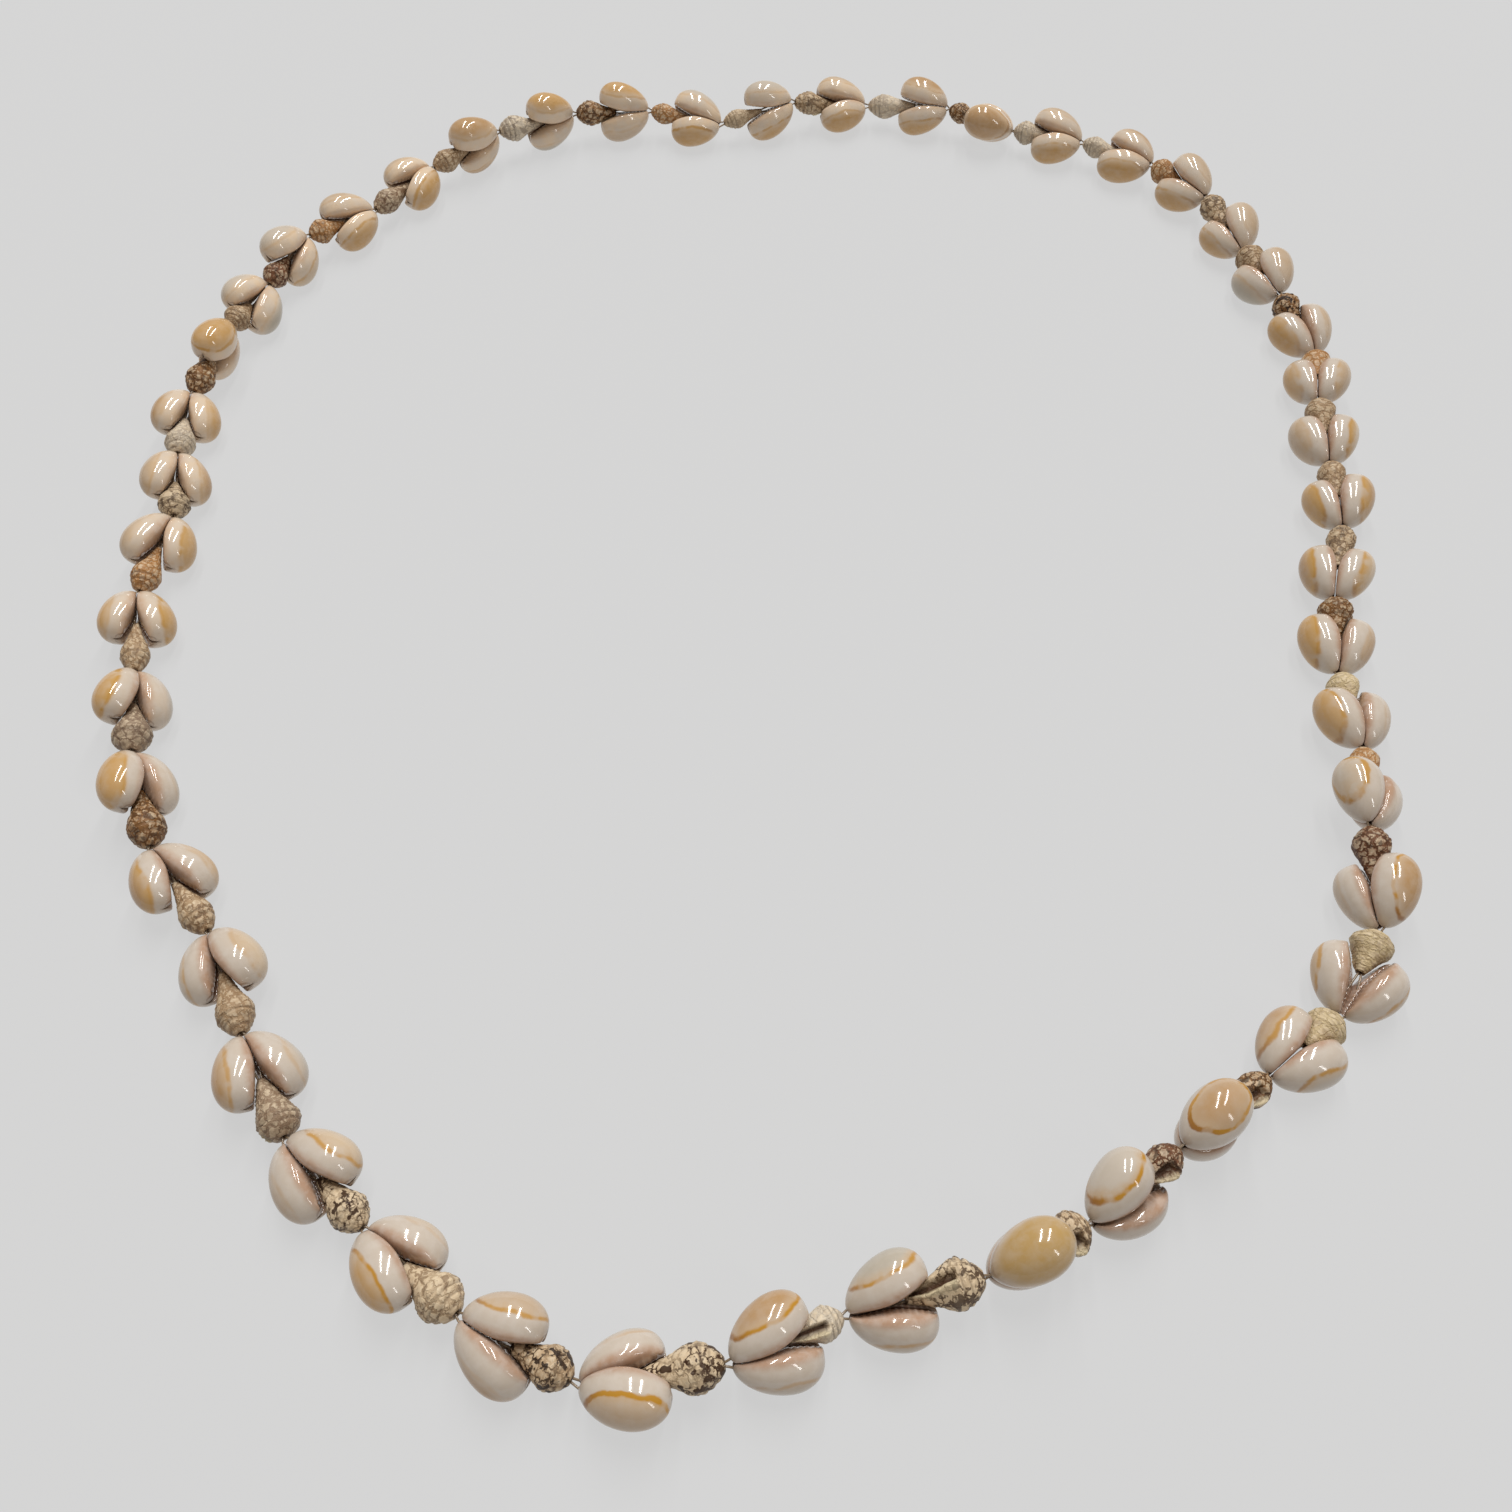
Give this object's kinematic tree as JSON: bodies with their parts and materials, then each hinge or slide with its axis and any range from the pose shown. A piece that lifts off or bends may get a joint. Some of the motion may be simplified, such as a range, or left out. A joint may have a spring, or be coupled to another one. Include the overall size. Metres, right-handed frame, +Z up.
{
  "type": "cowrie shell necklace",
  "caption": "Closed loop of ring cowries strung in splayed pairs, base to base, with a small spiral shell in the open end of each pair, on doubled clear thread.",
  "frame": {"origin": "centre of the lying loop's outline, on the surface that it rests on", "axes": "+Z up from the surface; +Y along the loop's longer way, away from the viewer in the picture; +X to the viewer's right"},
  "size_m": [0.3345, 0.4224, 0.0184],
  "materials": {
    "cowrie_shell": "glossy",
    "spiral_shell": "satin",
    "nylon_thread": "glossy"
  },
  "bodies": {
    "root": {"upper_cowries": "cowrie_shell", "lower_cowries": "cowrie_shell", "small_shells": "spiral_shell", "thread": "nylon_thread"}
  },
  "joints": []
}
